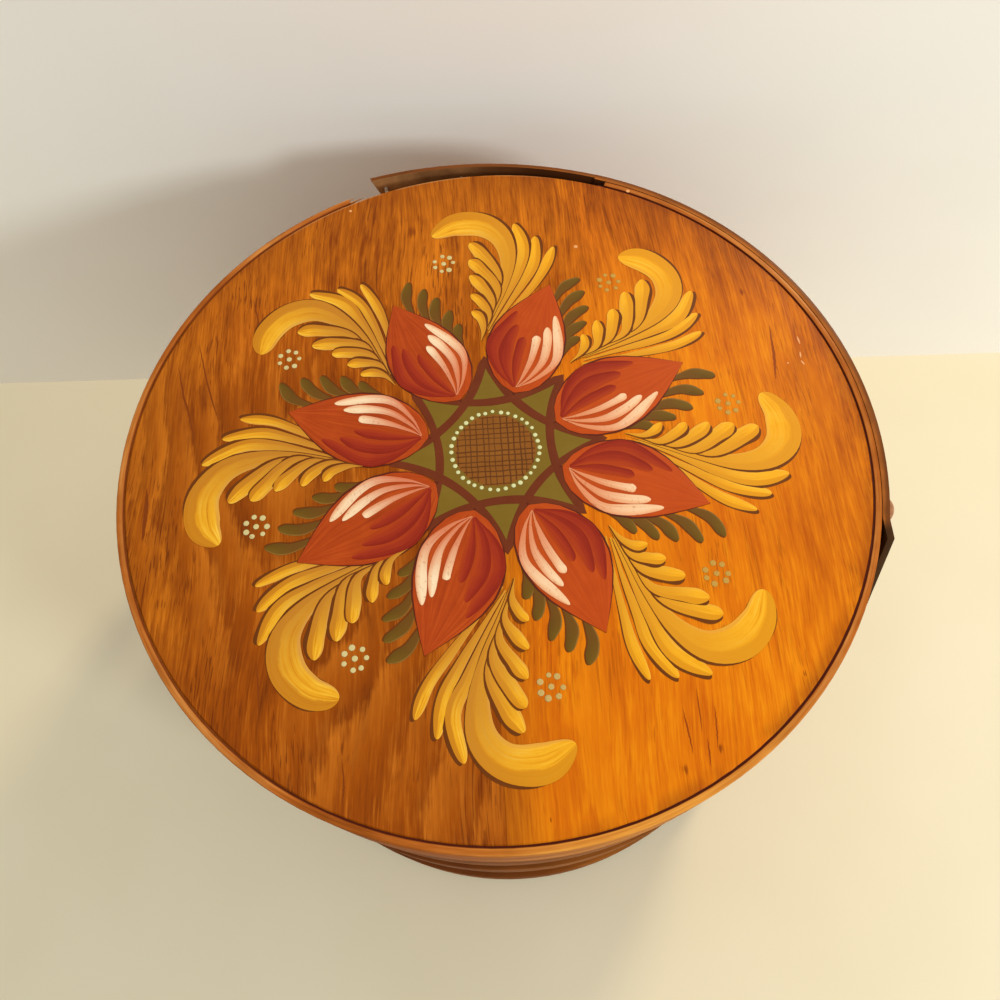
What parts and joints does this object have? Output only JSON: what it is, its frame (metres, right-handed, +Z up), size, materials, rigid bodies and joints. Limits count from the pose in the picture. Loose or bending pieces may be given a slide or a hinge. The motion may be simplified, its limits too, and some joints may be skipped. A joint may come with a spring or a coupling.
{
  "type": "firkin",
  "caption": "Round staved wooden firkin with bent hoops, a painted lift-off lid in a bent wooden band and a swinging wooden bail.",
  "frame": {"origin": "centre of the foot, on the bucket's axis at floor level", "axes": "+Z up along the bucket's axis, +X along the bail's pegs, +Y to the back, where the bail lies lowered"},
  "size_m": [0.3464, 0.3232, 0.242],
  "materials": {
    "staves": "stained and varnished softwood",
    "bottom": "bare softwood, aged",
    "hoops": "bent hardwood, stained and varnished",
    "bail_wood": "bent hardwood, hand-worn",
    "lid_boards": "orange-brown stained softwood under satin varnish",
    "lid_band": "bent hardwood, stained and varnished",
    "tacks": "dull iron",
    "stud": "worn domed head"
  },
  "bodies": {
    "bucket": {"stave_01": "staves", "stave_02": "staves", "stave_03": "staves", "stave_04": "staves", "stave_05": "staves", "stave_06": "staves", "stave_07": "staves", "stave_08": "staves", "stave_09": "staves", "stave_10": "staves", "stave_11": "staves", "stave_12": "staves", "stave_13": "staves", "stave_14": "staves", "stave_15": "staves", "stave_16": "staves", "stave_17": "staves", "stave_18": "staves", "bottom_board_front": "bottom", "bottom_board_back": "bottom", "hoop_bottom": "hoops", "hoop_middle": "hoops", "hoop_top": "hoops", "hoop_tacks": "tacks", "peg_right": "bail_wood", "peg_left": "bail_wood", "peg_spacer_right": "bail_wood", "peg_spacer_left": "bail_wood", "peg_wedge_right": "bail_wood", "peg_wedge_left": "bail_wood"},
    "bail": {"bail": "bail_wood"},
    "lid": {"lid_board_left": "lid_boards", "lid_board_right": "lid_boards", "lid_band": "lid_band", "lid_band_lap": "lid_band", "lid_tacks": "tacks", "lap_stud": "stud"}
  },
  "joints": [
    {"name": "bail_swing", "type": "hinge", "parent": "bucket", "child": "bail", "pos_m": [0, 0, 0.168], "axis": [1, 0, 0], "range_deg": [0, 246]},
    {"name": "lid_lift", "type": "slide", "parent": "bucket", "child": "lid", "axis": [0, 0, 1], "range_m": [0, 0.26]}
  ]
}
